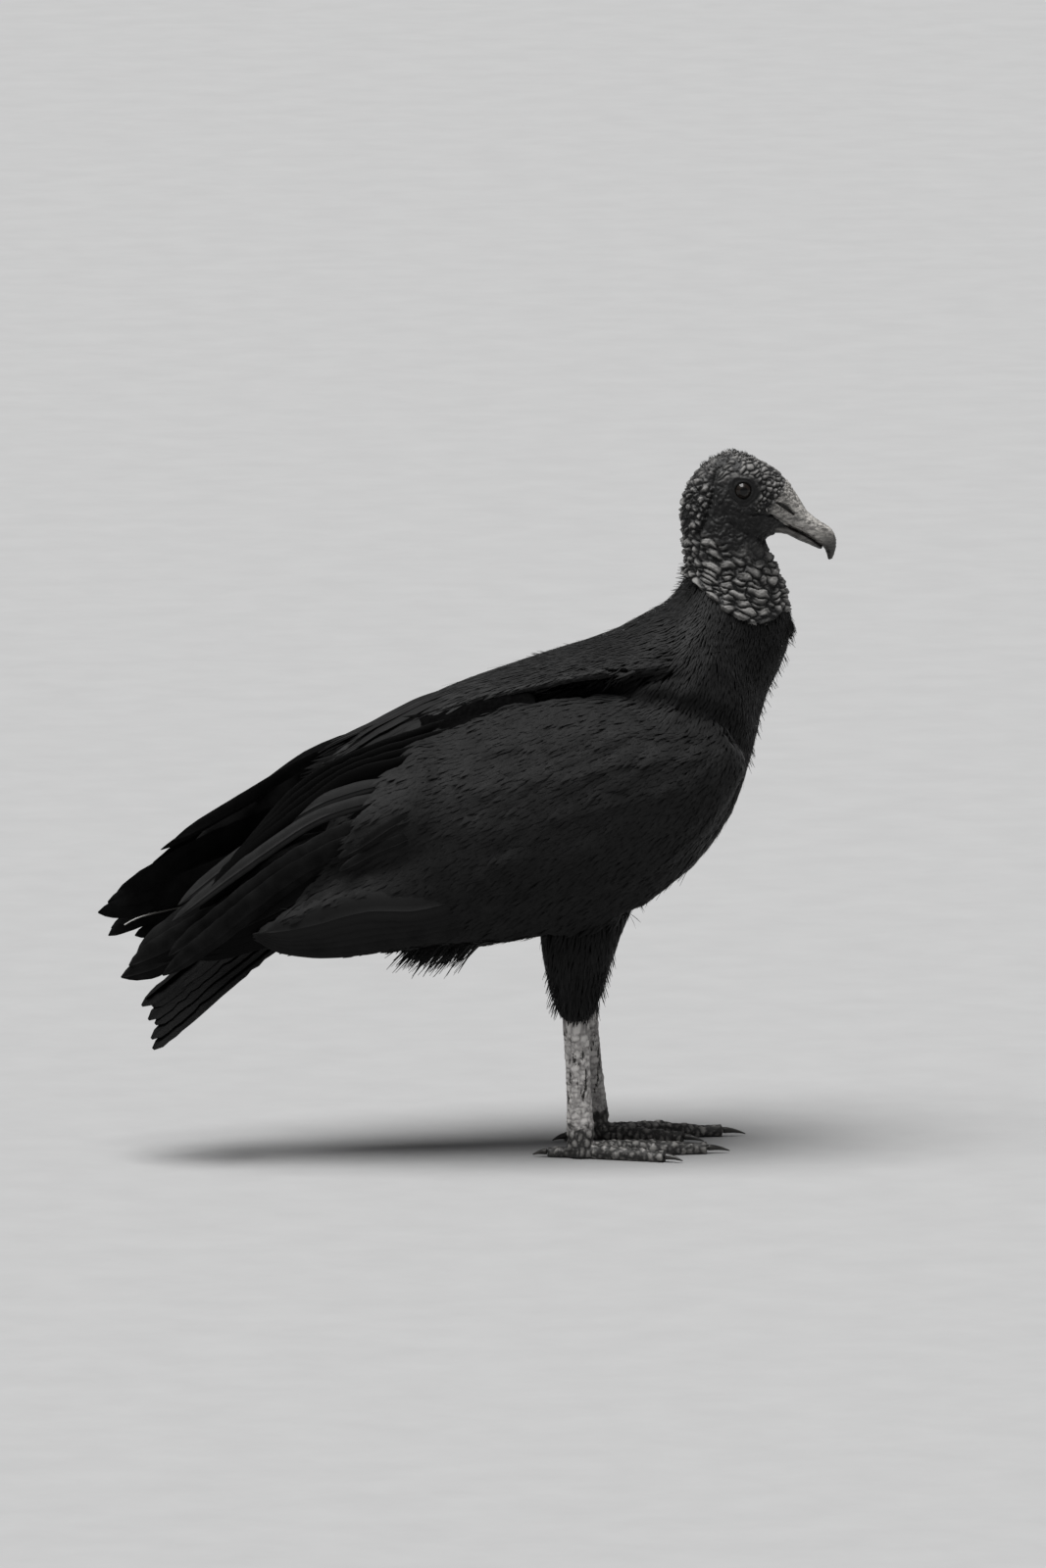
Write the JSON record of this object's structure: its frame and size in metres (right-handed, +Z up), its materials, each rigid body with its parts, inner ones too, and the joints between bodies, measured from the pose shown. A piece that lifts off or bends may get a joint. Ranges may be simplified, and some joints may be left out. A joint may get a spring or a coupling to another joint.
{
  "type": "black vulture",
  "caption": "Life-size still model of a black vulture standing on both feet, with folded wings, a bare wrinkled head and neck, and a hooked bill.",
  "frame": {"origin": "bottom centre of the bounding box, on the floor the bird stands on", "axes": "+X the way the bird faces, +Y its left side, +Z up"},
  "size_m": [0.4728, 0.176, 0.4427],
  "materials": {
    "plumage": "soft, velvety, faintly glossy black feathers",
    "flight": "stiff black vanes with a low sheen",
    "skin": "bare dark grey skin, wrinkled and beaded",
    "horn": "worn horn, dark at its base and pale at its tip",
    "scale": "scaly skin, whitened on the legs and darker on the toes",
    "claw": "dark horn, worn smooth",
    "eye": "dark brown, wet"
  },
  "bodies": {
    "root": {"trunk": "plumage", "neck_lower": "plumage", "neck_upper": "skin", "head": "skin", "mantle": "plumage", "bill_upper": "horn", "bill_lower": "horn", "tail": "flight", "eye_right": "eye", "thigh_right": "plumage", "tarsus_right": "scale", "foot_right": "scale", "toe_right_1": "scale", "toe_right_2": "scale", "toe_right_3": "scale", "toe_right_4": "scale", "claw_right_1": "claw", "claw_right_2": "claw", "claw_right_3": "claw", "claw_right_4": "claw", "wing_right_coverts": "plumage", "wing_right_tertials": "flight", "wing_right_secondaries": "flight", "wing_right_primaries": "flight", "eye_left": "eye", "thigh_left": "plumage", "tarsus_left": "scale", "foot_left": "scale", "toe_left_1": "scale", "toe_left_2": "scale", "toe_left_3": "scale", "toe_left_4": "scale", "claw_left_1": "claw", "claw_left_2": "claw", "claw_left_3": "claw", "claw_left_4": "claw", "wing_left_coverts": "plumage", "wing_left_tertials": "flight", "wing_left_secondaries": "flight", "wing_left_primaries": "flight"}
  },
  "joints": []
}
